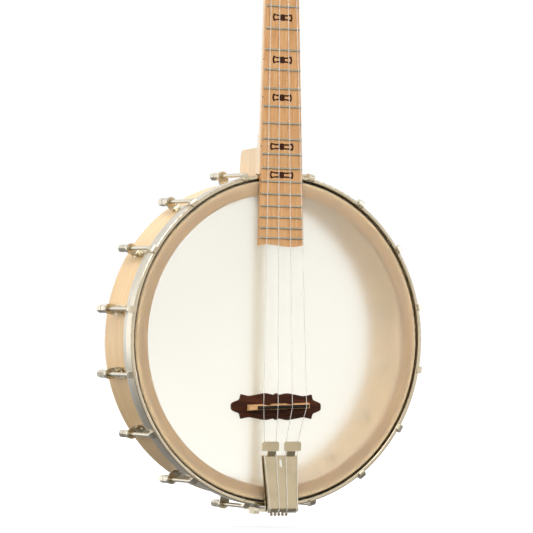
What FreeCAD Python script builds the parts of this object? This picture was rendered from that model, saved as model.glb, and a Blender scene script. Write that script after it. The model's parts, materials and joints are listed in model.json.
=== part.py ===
import FreeCAD, Part
import math
import os
from FreeCAD import Placement, Rotation, Vector

# Four-string open-back banjo.
# Frame: +Z runs up the neck, the head faces -Y, +X is to the right seen from the front.
# The origin is the middle of the rim's back face, on the pot's axis.  Millimetres.

# Pot: rim, head, hoops
RIM_RADIUS = 152.4
RIM_WALL = 12.0
RIM_DEPTH = 69.85
BEARING_ROUND = 1.6
CROWN_RADIUS = 154.0
CROWN_BACK_Y = -52.6
FILM = 0.35
FILM_GAP = 0.05
LIP_Y = -54.4
LIP_REACH = 2.0
FLESH_Y = (-62.0, -52.0)
FLESH_RADIUS = 158.3
HOOP_Y = -71.1
HOOP_RADIUS = (156.3, 159.8)
HOOP_SEAT_RADIUS = 155.3
HOOP_SKIRT_Y = -60.5
HOOP_SKIRT_RADIUS = 158.5

# Hooks, nuts, shoes
HOOKS_PER_SIDE = 8
HOOK_STEP = 22.0
HOOKS_TURNED = -1.3
HOOK_RADIUS = 162.5
HOOK_ROD = 2.0
HOOK_TONGUE = 2.0
HOOK_HALF_WIDTH = 3.2
HOOK_BACK_Y = -8.0
NUT_WIDTH = 7.0
NUT_Y = (-23.8, -4.6)
NUT_BORE_END_Y = -7.5
NUT_DOME = 2.6
SHOE_SHEET = 2.0
SHOE_HALF_WIDTH = 5.0
SHOE_SEAT_Y = -24.0
SHOE_FOOT_Y = -42.5
SHOE_REACH = 167.0
SHOE_BOLT_Y = -34.5
SHOE_BOLT = 2.0
WASHER = 0.8

# Coordinator rod and the bolts that hold the neck
ROD_Y = -27.0
UPPER_BOLT_Y = -41.0
ROD_RADIUS = 4.75
ROD_END = 132.0
BOLT_RADIUS = 3.0
BOLT_IN_ROD = 118.0
BOLT_IN_HEEL = 176.0
BIG_NUT_WIDTH = 11.0
BIG_WASHER_RADIUS = 6.5

# Neck and strings
SCALE = 431.8
FRETS = 17
BRIDGE_Z = -63.8
NECK_X = -2.4
NECK_TILT = 1.2
BOARD_Y = -76.0
BOARD_THICK = 3.0
NUT_HALF_WIDTH = 16.7
FRET17_HALF_WIDTH = 24.3
HEEL_Y = (-22.0, -16.5)
HEEL_TOP_Z = 184.5
HEEL_FOOT_Z = 145.0
HEEL_HALF_WIDTH = 15.0
NECK_DEPTH = (16.5, 15.0)
NECK_SIDE = 0.6
STRING_NUT_THICK = 4.0
STRING_NUT_HEIGHT = 1.7
STRING_AT_NUT = 1.5
FRET_HEIGHT = 0.9
FRET_HALF_WIDTH = 1.05
INLAY_DEPTH = 0.8
STRING_RADIUS = 0.36
STRING_LIFT = 0.14
STRINGS_AT_NUT = (-13.0, -4.4, 4.4, 13.0)
STRINGS_AT_BRIDGE = (-23.55, -7.85, 7.85, 23.55)
STRINGS_AT_PRONGS = (-18.0, -5.3, 5.4, 18.0)
STRINGS_AT_TAIL = (-14.8, -4.6, 4.3, 14.8)
PINS_X = (-8.2, -4.1, 0.0, 4.1, 8.2)
PINNED_AT = (-8.2, -4.1, 4.1, 8.2)

# Bridge and the scroll plate it stands on
BRIDGE_X = -1.0
PLATE_X = -2.5
PLATE_THICK = 2.4
BRIDGE_TOP_Y = -85.1
CAP_HEIGHT = 3.0
BRIDGE_TOP = 27.4
BRIDGE_SLANT = 2.0

# Tailpiece
TAIL_SHEET = 1.5
TAIL_START_Z = -110.5
TAIL_OUTER_Z = -164.6
TAIL_FRONT_Y = (-78.05, -85.7)
TAIL_BASE_Y = (-73.2, -80.3)
TAIL_TAB_Y = -17.0
TAIL_ROUND = 4.0
PRONG_Y = -80.0
PRONG_WING = (3.1, 21.1)
PRONG_STEM = (6.1, 15.0)
PINS_Y = -76.0

# Peghead and geared tuners, in a frame on the peghead's face: y goes back, z goes up
PEG_TILT = 12.0
PEG_THICK = 13.0
PEG_LENGTH = 150.0
OVERLAY = 2.0
OVERLAY_START = 0.5
POSTS = (("1", -1, 96.0), ("2", -1, 40.0), ("3", 1, 40.0), ("4", 1, 96.0))
POST_X = 17.5
POST_RADIUS = 3.0
POST_FRONT_Y = -13.0
POST_HOLE_Y = -8.0
BUSHING_RADIUS = 4.2
RUNNING_FIT = 0.05
GEAR_TEETH = 14
GEAR_RADIUS = (4.5, 5.6)
WORM_OFFSET = 9.0
WORM_RADIUS = 3.0
WORM_Y = 19.4
GEAR_HALF = 2.0
WORM_SHAFT = 1.5
BUTTON_X = (37.0, 51.0)

BOARD_BACK_Y = BOARD_Y + BOARD_THICK
HEAD_Y = -RIM_DEPTH - FILM_GAP - FILM
RIM_INSIDE = RIM_RADIUS - RIM_WALL
Y_AXIS = Vector(0, 1, 0)
ORIGIN = Vector(0, 0, 0)


def fret_z(number):
    """Height of a fret above the pot's axis; fret 0 is the nut."""
    return BRIDGE_Z + SCALE * 2 ** (-number / 12)


NUT_Z = fret_z(0)


def half_width(z):
    """Half the fretboard's width at a height on the neck."""
    along = (z - fret_z(FRETS)) / (NUT_Z - fret_z(FRETS))
    return FRET17_HALF_WIDTH + (NUT_HALF_WIDTH - FRET17_HALF_WIDTH) * along


NECK_PLACE = (
    Placement(Vector(NECK_X, BOARD_Y, fret_z(FRETS)), Rotation(Vector(1, 0, 0), -NECK_TILT))
    * Placement(Vector(0, -BOARD_Y, -fret_z(FRETS)), Rotation())
)
PEG_PLACE = NECK_PLACE * Placement(
    Vector(0, BOARD_BACK_Y, NUT_Z + STRING_NUT_THICK), Rotation(Vector(1, 0, 0), -PEG_TILT)
)


# ---- small helpers -------------------------------------------------------

def save(name, *shapes):
    """Write one node; several solids stay separate in one file."""
    solids = [solid for shape in shapes for solid in shape.Solids]
    whole = solids[0] if len(solids) == 1 else Part.makeCompound(solids)
    whole.exportStep("parts/%s.step" % name)


def moved(shape, placement):
    """Copy of a shape, moved out of its own frame by a placement."""
    copy = shape.copy()
    copy.transformShape(placement.toMatrix())
    return copy


def standing(shape, base, direction):
    """Move a shape built along +Z so that it stands at base along direction."""
    return moved(shape, Placement(base, Rotation(Vector(0, 0, 1), direction)))


def block(x, y, z):
    """Box between pairs of limits."""
    return Part.makeBox(x[1] - x[0], y[1] - y[0], z[1] - z[0], Vector(x[0], y[0], z[0]))


def rod(start, end, radius):
    """Cylinder between two points."""
    along = end - start
    return Part.makeCylinder(radius, along.Length, start, along)


def spot(normal, a, b, level):
    """Point of a drawing plane that lies across the axis called normal."""
    if normal == "x":
        return Vector(level, a, b)
    if normal == "y":
        return Vector(a, level, b)
    return Vector(a, b, level)


def bend(before, here, after, radius):
    """Start, middle and end of the arc that rounds a corner."""
    back = (before - here).normalize()
    ahead = (after - here).normalize()
    half = back.getAngle(ahead) / 2
    centre = here + (back + ahead).normalize() * (radius / math.sin(half))
    reach = radius / math.tan(half)
    middle = centre + (here - centre).normalize() * radius
    return here + back * reach, middle, here + ahead * reach


def outline(corners, normal, level):
    """Closed wire; each corner is (a, b) or (a, b, radius)."""
    points = [spot(normal, corner[0], corner[1], level) for corner in corners]
    radii = [corner[2] if len(corner) > 2 else 0 for corner in corners]
    count = len(points)
    bends = [
        bend(points[i - 1], points[i], points[(i + 1) % count], radii[i]) if radii[i]
        else (points[i],) * 3
        for i in range(count)
    ]
    edges = []
    for i, (start, middle, end) in enumerate(bends):
        if radii[i]:
            edges.append(Part.Arc(start, middle, end).toShape())
        following = bends[(i + 1) % count][0]
        if end.distanceToPoint(following) > 1e-6:
            edges.append(Part.LineSegment(end, following).toShape())
    return Part.Wire(edges)


def plate(corners, normal, start, end):
    """Outline extruded from start to end along its normal."""
    face = Part.Face(outline(corners, normal, start))
    return face.extrude(spot(normal, 0, 0, end - start))


def turned(corners):
    """Ring round the pot's axis from a (y, radius) outline."""
    return Part.Face(outline(corners, "x", 0)).revolve(ORIGIN, Y_AXIS, 360)


def round_edges(solid):
    """The circular edges of a solid."""
    return [edge for edge in solid.Edges if isinstance(edge.Curve, Part.Circle)]


def hex_bar(width, length, bore=0):
    """Hexagonal bar along +Z with turned ends and, if asked, a bore."""
    reach = width / math.sqrt(3)
    corners = [
        (reach * math.cos(math.radians(60 * i)), reach * math.sin(math.radians(60 * i)))
        for i in range(6)
    ]
    turning = Part.makeCylinder(reach, length)
    turning = turning.makeChamfer(reach - width / 2, round_edges(turning))
    bar = plate(corners, "z", 0, length).common(turning)
    return bar.cut(Part.makeCylinder(bore, length)) if bore else bar


def washer(radius, bore, thickness):
    """Flat washer standing on the XY plane."""
    return Part.makeCylinder(radius, thickness).cut(Part.makeCylinder(bore, thickness))


def round_pot(solid):
    """One copy of a solid at each hook: evenly down both sides, wider apart at neck and tail."""
    copies = []
    for middle in (90, -90):
        for i in range(HOOKS_PER_SIDE):
            copy = solid.copy()
            step = i - (HOOKS_PER_SIDE - 1) / 2
            copy.rotate(ORIGIN, Y_AXIS, middle + HOOKS_TURNED + step * HOOK_STEP)
            copies.append(copy)
    return copies


def mirrored_pair(right_side):
    """Corners of the right half of an outline, continued by their mirror on the left."""
    left_side = [(-corner[0],) + tuple(corner[1:]) for corner in reversed(right_side)]
    return list(right_side) + left_side


# ---- pot -----------------------------------------------------------------

def rim():
    """Laminated rim with a wider bearing edge in front and all its bolt holes."""
    wall = turned([
        (0, RIM_INSIDE, 1.5), (0, RIM_RADIUS, 2),
        (CROWN_BACK_Y, RIM_RADIUS), (CROWN_BACK_Y, CROWN_RADIUS),
        (-RIM_DEPTH, CROWN_RADIUS, BEARING_ROUND), (-RIM_DEPTH, RIM_INSIDE, 2),
    ])
    shoe_hole = rod(Vector(0, SHOE_BOLT_Y, RIM_INSIDE - 2), Vector(0, SHOE_BOLT_Y, RIM_RADIUS + 2),
                    SHOE_BOLT + 0.15)
    holes = round_pot(shoe_hole)
    for y, side in ((ROD_Y, 1), (UPPER_BOLT_Y, 1), (ROD_Y, -1)):
        holes.append(rod(Vector(0, y, side * (RIM_INSIDE - 2)), Vector(0, y, side * (RIM_RADIUS + 2)),
                         BOLT_RADIUS + 0.15))
    return wall.cut(Part.makeCompound(holes))


def head_film():
    """Skin over the bearing edge, its lip held in the flesh hoop."""
    inside = CROWN_RADIUS + FILM_GAP
    outside = inside + FILM
    return turned([
        (HEAD_Y, 0), (HEAD_Y, outside, BEARING_ROUND + FILM_GAP + FILM),
        (LIP_Y - FILM, outside), (LIP_Y - FILM, outside + LIP_REACH),
        (LIP_Y, outside + LIP_REACH), (LIP_Y, inside),
        (HEAD_Y + FILM, inside, BEARING_ROUND + FILM_GAP), (HEAD_Y + FILM, 0),
    ])


def flesh_hoop():
    """Square ring that grips the skin's lip in a groove."""
    inside = CROWN_RADIUS + FILM_GAP + FILM + FILM_GAP
    groove = inside + LIP_REACH
    front, back = FLESH_Y
    return turned([
        (front, inside, 0.8), (front, FLESH_RADIUS, 0.8), (back, FLESH_RADIUS, 0.8), (back, inside, 0.8),
        (LIP_Y + FILM_GAP, inside), (LIP_Y + FILM_GAP, groove),
        (LIP_Y - FILM - FILM_GAP, groove), (LIP_Y - FILM - FILM_GAP, inside),
    ])


def tension_hoop():
    """Angle-section hoop that presses the flesh hoop back, thinner in front than where it presses."""
    inside, outside = HOOP_RADIUS
    return turned([
        (HOOP_Y, inside, 0.8), (HOOP_Y, outside, 1.0),
        (HOOP_SKIRT_Y, outside, 0.5), (HOOP_SKIRT_Y, HOOP_SKIRT_RADIUS, 0.5),
        (FLESH_Y[0], HOOP_SKIRT_RADIUS, 0.3), (FLESH_Y[0], HOOP_SEAT_RADIUS, 0.5),
    ])


def hook():
    """J-hook: a rod whose flattened front end bears on the tension hoop."""
    inner = HOOK_RADIUS - HOOK_ROD
    outer = HOOK_RADIUS + HOOK_ROD
    tongue_y = HOOP_Y - HOOK_TONGUE
    neck_y = HOOP_Y + 5
    claw = plate([
        (neck_y, inner), (neck_y, outer), (tongue_y, outer, 6.0), (tongue_y, HOOP_RADIUS[0] + 0.4, 1.4),
        (HOOP_Y, HOOP_RADIUS[0] + 0.4, 0.4), (HOOP_Y, inner, 0.5),
    ], "x", -HOOK_HALF_WIDTH, HOOK_HALF_WIDTH)
    plan = plate([
        (-HOOK_HALF_WIDTH, HOOP_RADIUS[0], 2), (HOOK_HALF_WIDTH, HOOP_RADIUS[0], 2),
        (HOOK_HALF_WIDTH, outer, 1.5), (-HOOK_HALF_WIDTH, outer, 1.5),
    ], "y", tongue_y - 1, neck_y)
    shank = Part.makeCylinder(HOOK_ROD, HOOK_BACK_Y - neck_y + 0.5)
    shank = shank.makeChamfer(0.6, round_edges(shank))
    shank = standing(shank, Vector(0, HOOK_BACK_Y, HOOK_RADIUS), Vector(0, -1, 0))
    return claw.common(plan).fuse(shank).removeSplitter()


def hook_nut():
    """Long closed nut with a collar and a domed end that draws a hook back against its shoe."""
    front, back = NUT_Y
    length = back - front
    reach = NUT_WIDTH / math.sqrt(3)
    turning = Part.makeCylinder(reach, length)
    far_edge = max(round_edges(turning), key=lambda edge: edge.CenterOfMass.z)
    turning = turning.makeFillet(NUT_DOME, [far_edge])
    nut = hex_bar(NUT_WIDTH, length).common(turning)
    groove = washer(reach + 1, NUT_WIDTH / 2 - 0.3, 0.9)
    nut = nut.cut(moved(groove, Placement(Vector(0, 0, length / 2), Rotation())))
    nut = nut.fuse(Part.makeCylinder(NUT_WIDTH / 2 + 0.9, 2.0))
    nut = nut.cut(Part.makeCylinder(HOOK_ROD + RUNNING_FIT, NUT_BORE_END_Y - front))
    return standing(nut, Vector(0, front, HOOK_RADIUS), Y_AXIS)


def shoe():
    """Pressed-steel bracket shoe: a foot on the rim and a seat for the nut."""
    on_rim = RIM_RADIUS + 0.02
    seat_front = SHOE_SEAT_Y - SHOE_SHEET
    strap = plate([
        (SHOE_FOOT_Y, on_rim), (SHOE_SEAT_Y, on_rim, 5), (SHOE_SEAT_Y, SHOE_REACH),
        (seat_front, SHOE_REACH), (seat_front, on_rim + SHOE_SHEET, 3), (SHOE_FOOT_Y, on_rim + SHOE_SHEET),
    ], "x", -SHOE_HALF_WIDTH, SHOE_HALF_WIDTH)
    seat_plan = plate([
        (-SHOE_HALF_WIDTH, on_rim - 1), (SHOE_HALF_WIDTH, on_rim - 1),
        (SHOE_HALF_WIDTH, SHOE_REACH, 5), (-SHOE_HALF_WIDTH, SHOE_REACH, 5),
    ], "y", SHOE_FOOT_Y - 1, SHOE_SEAT_Y + 1)
    foot_plan = plate([
        (-SHOE_HALF_WIDTH, SHOE_FOOT_Y, 4), (SHOE_HALF_WIDTH, SHOE_FOOT_Y, 4),
        (SHOE_HALF_WIDTH, SHOE_SEAT_Y + 1), (-SHOE_HALF_WIDTH, SHOE_SEAT_Y + 1),
    ], "z", on_rim - 1, SHOE_REACH + 1)
    hook_hole = rod(Vector(0, seat_front - 1, HOOK_RADIUS), Vector(0, SHOE_SEAT_Y + 1, HOOK_RADIUS),
                    HOOK_ROD + 0.3)
    bolt_hole = rod(Vector(0, SHOE_BOLT_Y, on_rim - 1), Vector(0, SHOE_BOLT_Y, on_rim + SHOE_SHEET + 1),
                    SHOE_BOLT + RUNNING_FIT)
    return strap.common(seat_plan).common(foot_plan).cut(hook_hole).cut(bolt_hole)


def shoe_bolt():
    """Hexagon-head bolt from inside the rim into a shoe."""
    under_head = RIM_INSIDE - 0.1 - WASHER
    head = standing(hex_bar(7, 3), Vector(0, SHOE_BOLT_Y, under_head - 3), Vector(0, 0, 1))
    tip = RIM_RADIUS + SHOE_SHEET + 0.6
    shank = Part.makeCylinder(SHOE_BOLT, tip - under_head + 0.5)
    shank = shank.makeChamfer(0.4, round_edges(shank))
    return head.fuse(moved(shank, Placement(Vector(0, SHOE_BOLT_Y, under_head - 0.5), Rotation())))


def shoe_washer():
    """Washer between a bolt head and the rim."""
    flat = washer(4.5, SHOE_BOLT + 0.2, WASHER)
    return moved(flat, Placement(Vector(0, SHOE_BOLT_Y, RIM_INSIDE - 0.1 - WASHER), Rotation()))


# ---- rod and bolts -------------------------------------------------------

def coordinator_rod():
    """Steel rod across the pot, drilled at both ends for the bolts."""
    bar = Part.makeCylinder(ROD_RADIUS, 2 * ROD_END)
    bar = bar.makeChamfer(0.8, round_edges(bar))
    bar = moved(bar, Placement(Vector(0, ROD_Y, -ROD_END), Rotation()))
    for side in (1, -1):
        bore = rod(Vector(0, ROD_Y, side * BOLT_IN_ROD), Vector(0, ROD_Y, side * (ROD_END + 1)),
                   BOLT_RADIUS + RUNNING_FIT)
        bar = bar.cut(bore)
    return bar


def heel_bolts():
    """Two hanger bolts set in the heel; the lower one also holds the rod."""
    lower = rod(Vector(0, ROD_Y, BOLT_IN_ROD), Vector(0, ROD_Y, BOLT_IN_HEEL), BOLT_RADIUS)
    upper = rod(Vector(0, UPPER_BOLT_Y, ROD_END - 1), Vector(0, UPPER_BOLT_Y, BOLT_IN_HEEL), BOLT_RADIUS)
    return lower, upper


def inner_stack(piece, radius):
    """One copy of a nut or washer at each bolt, a given distance from the pot's axis."""
    up = Vector(0, 0, 1)
    return [
        standing(piece, Vector(0, ROD_Y, radius), up),
        standing(piece, Vector(0, UPPER_BOLT_Y, radius), up),
        standing(piece, Vector(0, ROD_Y, -radius), Vector(0, 0, -1)),
    ]


# ---- neck ----------------------------------------------------------------

def neck_section(z, depth):
    """D-shaped section of the neck behind the fretboard."""
    half = half_width(z)
    back = []
    for i in range(13):
        angle = math.pi * i / 12
        y = BOARD_BACK_Y + NECK_SIDE + (depth - NECK_SIDE) * math.sin(angle)
        back.append(Vector(half * math.cos(angle), y, z))
    curve = Part.BSplineCurve()
    curve.interpolate(back)
    right = Vector(half, BOARD_BACK_Y, z)
    left = Vector(-half, BOARD_BACK_Y, z)
    return Part.Wire([
        Part.LineSegment(left, right).toShape(), Part.LineSegment(right, back[0]).toShape(),
        curve.toShape(), Part.LineSegment(back[-1], left).toShape(),
    ])


def heel():
    """Square-shouldered block that meets the rim, a little deeper towards it."""
    neck_back = BOARD_BACK_Y + NECK_DEPTH[0] - 0.6
    side_view = plate([
        (BOARD_BACK_Y, HEEL_FOOT_Z), (BOARD_BACK_Y, HEEL_TOP_Z + 14), (neck_back - 2, HEEL_TOP_Z + 14),
        (neck_back, HEEL_TOP_Z + 1, 5), (HEEL_Y[0], HEEL_TOP_Z, 5), (HEEL_Y[1], HEEL_FOOT_Z),
    ], "x", -30, 30)
    front_half = half_width(HEEL_TOP_Z + 14) - 0.3
    plan = plate(mirrored_pair([
        (front_half, BOARD_BACK_Y), (front_half, BOARD_BACK_Y + 2, 8),
        (HEEL_HALF_WIDTH, neck_back + 4, 20), (HEEL_HALF_WIDTH, HEEL_Y[1] + 1, 5),
    ]), "z", HEEL_FOOT_Z - 5, HEEL_TOP_Z + 20)
    return side_view.common(plan)


def peghead_outline():
    """Corners of the peghead, in its own frame."""
    return mirrored_pair([
        (NUT_HALF_WIDTH, -6), (NUT_HALF_WIDTH, 7, 12), (30, 26, 12), (28.5, 70, 60), (32, 122, 14),
        (15, PEG_LENGTH - 12, 12), (8, PEG_LENGTH, 8),
    ])


def post_holes(radius):
    """Borers through the peghead at the four posts."""
    return Part.makeCompound([
        rod(Vector(side * POST_X, -1, z), Vector(side * POST_X, OVERLAY + PEG_THICK + 1, z), radius)
        for _, side, z in POSTS
    ])


def screw_spot(side, z):
    """Where a tuner's mounting screw enters the back of the peghead."""
    return Vector(side * POST_X, OVERLAY + PEG_THICK, z - 11)


def neck():
    """Neck, heel and peghead cut from one piece of wood."""
    shaft = Part.makeLoft([
        neck_section(153.5, NECK_DEPTH[0]), neck_section(NUT_Z + STRING_NUT_THICK, NECK_DEPTH[1]),
    ], True, True)
    whole = moved(shaft.fuse(heel()), NECK_PLACE)
    peghead = plate(peghead_outline(), "y", OVERLAY, OVERLAY + PEG_THICK)
    below_overlay = block((-30, 30), (-20, 40), (-30, OVERLAY_START))
    peghead = peghead.cut(below_overlay).fuse(volute())
    peghead = peghead.cut(post_holes(BUSHING_RADIUS + 0.02))
    for _, side, z in POSTS:
        start = screw_spot(side, z)
        peghead = peghead.cut(rod(start - Vector(0, 9.5, 0), start + Vector(0, 1, 0), 1.25))
    whole = whole.fuse(moved(peghead, PEG_PLACE))
    pot_behind = rod(Vector(0, FLESH_Y[1] + 0.5, 0), Vector(0, 20, 0), RIM_RADIUS + 0.02)
    hoops = rod(Vector(0, BOARD_Y - 5, 0), Vector(0, FLESH_Y[1] + 0.5, 0), HOOP_RADIUS[1] + 0.9)
    whole = whole.cut(Part.makeCompound([pot_behind, hoops]))
    for bolt in heel_bolts():
        whole = whole.cut(bolt)
    return whole.removeSplitter()


def volute():
    """Wood that carries the neck's back into the tilted peghead."""
    depth = NECK_DEPTH[1]
    return plate([
        (OVERLAY, OVERLAY_START), (OVERLAY, 14), (OVERLAY + PEG_THICK, 14), (depth + 0.5, 0),
        (depth - 1.5, -2), (OVERLAY, -2),
    ], "x", -13, 13)


def board_end():
    """The ogee across the fretboard's lower end."""
    z = fret_z(FRETS) - 7.5
    half = half_width(z)
    curve = Part.BSplineCurve()
    curve.interpolate([
        Vector(-half, BOARD_Y, z), Vector(-half / 2, BOARD_Y, z + 1.3),
        Vector(half * 0.4, BOARD_Y, z - 0.6), Vector(half, BOARD_Y, z + 1.5),
    ])
    return curve.toShape()


def board_blank():
    """Fretboard before it is slotted and inlaid."""
    end = board_end()
    left, right = end.Vertexes[0].Point, end.Vertexes[1].Point
    top_right = Vector(NUT_HALF_WIDTH, BOARD_Y, NUT_Z)
    top_left = Vector(-NUT_HALF_WIDTH, BOARD_Y, NUT_Z)
    edges = [end]
    for start, finish in ((right, top_right), (top_right, top_left), (top_left, left)):
        edges.append(Part.LineSegment(start, finish).toShape())
    return Part.Face(Part.Wire(edges)).extrude(Vector(0, BOARD_THICK, 0))


def fret(number):
    """One fret: a crown on the board and a tang in its slot."""
    z = fret_z(number)
    crown_y = BOARD_Y - FRET_HEIGHT
    tang_y = BOARD_Y + 1.5
    half = half_width(z) - 0.2
    return plate([
        (BOARD_Y, z - FRET_HALF_WIDTH), (crown_y, z - FRET_HALF_WIDTH, 0.8),
        (crown_y, z + FRET_HALF_WIDTH, 0.8), (BOARD_Y, z + FRET_HALF_WIDTH),
        (BOARD_Y, z + 0.28), (tang_y, z + 0.28), (tang_y, z - 0.28), (BOARD_Y, z - 0.28),
    ], "x", -half, half)


def wing(inner_x, outer_x, waist, half_tall, z):
    """Plate that flares from its waist to a bowed outer end, as deep as an inlay."""
    bow_x = outer_x - math.copysign(1.2, outer_x)
    corners = [(inner_x, z + waist), ((inner_x + outer_x) / 2, z + waist, 5), (bow_x, z + half_tall, 0.35),
               (outer_x, z, 1.5), (bow_x, z - half_tall, 0.35), ((inner_x + outer_x) / 2, z - waist, 5),
               (inner_x, z - waist)]
    return plate(corners, "y", BOARD_Y, BOARD_Y + INLAY_DEPTH)


def bow_tie(number, half, tall):
    """Bow-tie inlay with two open wings and a solid knot, centred between two frets."""
    z = (fret_z(number) + fret_z(number - 1)) / 2
    piece = plate([
        (-2.7, z - 3.2, 1.6), (2.7, z - 3.2, 1.6), (2.7, z + 3.2, 1.6), (-2.7, z + 3.2, 1.6),
    ], "y", BOARD_Y, BOARD_Y + INLAY_DEPTH)
    for side in (1, -1):
        border = wing(side * 2.0, side * half, 2.7, tall / 2, z)
        opening = wing(side * 2.7, side * (half - 1.8), 1.1, tall / 2 - 1.9, z)
        piece = piece.fuse(border.cut(opening))
    return piece.removeSplitter()


def inlays():
    """Markers at frets 3, 5, 7, 10 and 12."""
    small = [bow_tie(number, 11.0, 8) for number in (3, 5, 7)]
    large = [bow_tie(number, 13.2, 7.4) for number in (10, 12)]
    return small + large


def side_dots(board):
    """Small dots let into the board's bass side."""
    dots = []
    for number in (5, 7, 10, 12):
        z = (fret_z(number) + fret_z(number - 1)) / 2
        start = Vector(-half_width(z) - 1, BOARD_Y + BOARD_THICK / 2, z)
        dots.append(rod(start, start + Vector(2.2, 0, 0), 1.0).common(board))
    return dots


def fretboard(board, markers):
    """Board with fret slots and inlay pockets."""
    cutters = list(markers)
    for number in range(1, FRETS + 1):
        z = fret_z(number)
        cutters.append(block((-30, 30), (BOARD_Y - 1, BOARD_Y + 1.55), (z - 0.3, z + 0.3)))
    return board.cut(Part.makeCompound(cutters))


def string_nut():
    """Bone nut, grooved by the strings."""
    top = BOARD_Y - STRING_NUT_HEIGHT
    bone = plate([
        (BOARD_BACK_Y, NUT_Z), (top, NUT_Z, 0.4), (top + 1, NUT_Z + STRING_NUT_THICK, 1.2),
        (BOARD_BACK_Y, NUT_Z + STRING_NUT_THICK),
    ], "x", -NUT_HALF_WIDTH, NUT_HALF_WIDTH)
    return moved(bone, NECK_PLACE).cut(Part.makeCompound(strings()))


def peghead_overlay():
    """Dark veneer on the face of the peghead."""
    sheet = plate(peghead_outline(), "y", 0, OVERLAY)
    sheet = sheet.cut(block((-30, 30), (-1, 40), (-30, OVERLAY_START)))
    return sheet.cut(post_holes(BUSHING_RADIUS + 0.02))


# ---- bridge --------------------------------------------------------------

def bridge_plate():
    """Scroll-edged rosewood plate on the head, under the bridge."""
    quarter = [
        (0, 13.2, 1.6), (3.0, 11.3, 0.7), (12, 13.1, 12), (30, 10.0, 16), (38.6, 11.7),
        (39.8, 6.6, 3.5), (44.0, 5.2, 2.0), (48.9, 3.2, 3.0),
    ]
    right = quarter[1:] + [(x, -z, *rest) for x, z, *rest in reversed(quarter[1:])]
    left = [(-x, z, *rest) for x, z, *rest in reversed(right)]
    corners = [quarter[0]] + right + [(0, -13.2, 2.4)] + left
    sheet = plate(corners, "y", HEAD_Y - PLATE_THICK, HEAD_Y)
    return moved(sheet, Placement(Vector(PLATE_X, 0, BRIDGE_Z), Rotation()))


def on_bridge(shape):
    """Move a piece built round the bridge's middle to where the bridge stands."""
    return moved(shape, Placement(Vector(BRIDGE_X, 0, BRIDGE_Z), Rotation(Y_AXIS, -BRIDGE_SLANT)))


def bridge_body():
    """Three-footed maple bridge, thinner towards its top."""
    foot_y = HEAD_Y - PLATE_THICK - 0.02
    top_y = BRIDGE_TOP_Y + CAP_HEIGHT
    body = plate([
        (-34, foot_y, 0.6), (-33.4, foot_y - 3.4, 3), (-BRIDGE_TOP, top_y), (BRIDGE_TOP, top_y),
        (33.4, foot_y - 3.4, 3), (34, foot_y, 0.6),
    ], "z", -3, 3)
    for x in (-12.5, 12.5):
        arch = plate([
            (x - 4.2, foot_y + 1), (x - 3.6, foot_y - 7.2, 3.4), (x + 3.6, foot_y - 7.2, 3.4),
            (x + 4.2, foot_y + 1),
        ], "z", -4, 4)
        body = body.cut(arch)
    taper = plate([
        (foot_y, -2.9), (foot_y, 2.9), (top_y, 1.6), (top_y, -1.6),
    ], "x", -40, 40)
    return on_bridge(body.common(taper))


def bridge_cap():
    """Ebony strip, grooved by the strings."""
    bottom_y = BRIDGE_TOP_Y + CAP_HEIGHT
    strip = plate([
        (bottom_y, -1.6), (BRIDGE_TOP_Y, -1.4, 0.7), (BRIDGE_TOP_Y, 1.4, 0.7), (bottom_y, 1.6),
    ], "x", -BRIDGE_TOP, BRIDGE_TOP)
    return on_bridge(strip).cut(Part.makeCompound(strings()))


# ---- tailpiece -----------------------------------------------------------

def bent_sheet(front_y, outer_z, sheet, radius):
    """Side view of a plate that slopes over the head and turns back along the rim."""
    start_y, corner_y = front_y
    slope = math.atan2(start_y - corner_y, TAIL_START_Z - outer_z)
    inner_start = (start_y + sheet * math.cos(slope), TAIL_START_Z - sheet * math.sin(slope))
    run = inner_start[1] - (outer_z + sheet)
    inner_corner_y = inner_start[0] - run * math.tan(slope)
    return plate([
        (start_y, TAIL_START_Z), (corner_y, outer_z, radius), (TAIL_TAB_Y, outer_z),
        (TAIL_TAB_Y, outer_z + sheet), (inner_corner_y, outer_z + sheet, radius - sheet), inner_start,
    ], "x", -25, 25)


def tail_plans():
    """Front view and end view that trim both tailpiece plates."""
    front_view = plate(mirrored_pair([
        (18.2, TAIL_START_Z + 1, 1), (16.3, TAIL_OUTER_Z - 1),
    ]), "y", -100, 0)
    end_view = plate(mirrored_pair([
        (25, -100), (25, -74), (16.3, -66, 10), (9.5, -44, 12), (9.5, TAIL_TAB_Y, 7),
    ]), "z", TAIL_OUTER_Z - 5, TAIL_START_Z + 5)
    return front_view.common(end_view)


def bolt_clearance():
    """Borer for the bolt that holds the tailpiece."""
    return rod(Vector(0, ROD_Y, TAIL_OUTER_Z - 5), Vector(0, ROD_Y, -RIM_RADIUS), BOLT_RADIUS + 0.1)


def prong(side):
    """T-shaped prong that holds two strings down."""
    back_y = PRONG_Y + TAIL_SHEET
    near, far = PRONG_WING
    wing = plate([
        (side * near, -97, 2), (side * far, -97, 2), (side * far, -106, 1.2), (side * near, -106, 1.2),
    ], "y", PRONG_Y, back_y)
    stem_near, stem_far = sorted((side * PRONG_STEM[0], side * PRONG_STEM[1]))
    stem = plate([
        (PRONG_Y, -103), (PRONG_Y, -106.5, 2), (TAIL_FRONT_Y[0] - 0.1, TAIL_START_Z - 1, 2),
        (TAIL_FRONT_Y[0] - 0.9, TAIL_START_Z - 7), (TAIL_FRONT_Y[0] + 0.3, TAIL_START_Z - 7),
        (TAIL_FRONT_Y[0] + 1.3, TAIL_START_Z - 0.5, 2), (back_y, -107.5, 2), (back_y, -103),
    ], "x", stem_near, stem_far)
    return wing.fuse(stem)


def tail_slot(half, top, bottom):
    """Borer for the slot near the upper end of both tailpiece plates."""
    return plate([
        (-half, top, 1.7), (half, top, 1.7), (half, bottom, 1.7), (-half, bottom, 1.7),
    ], "y", -90, -70)


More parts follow.
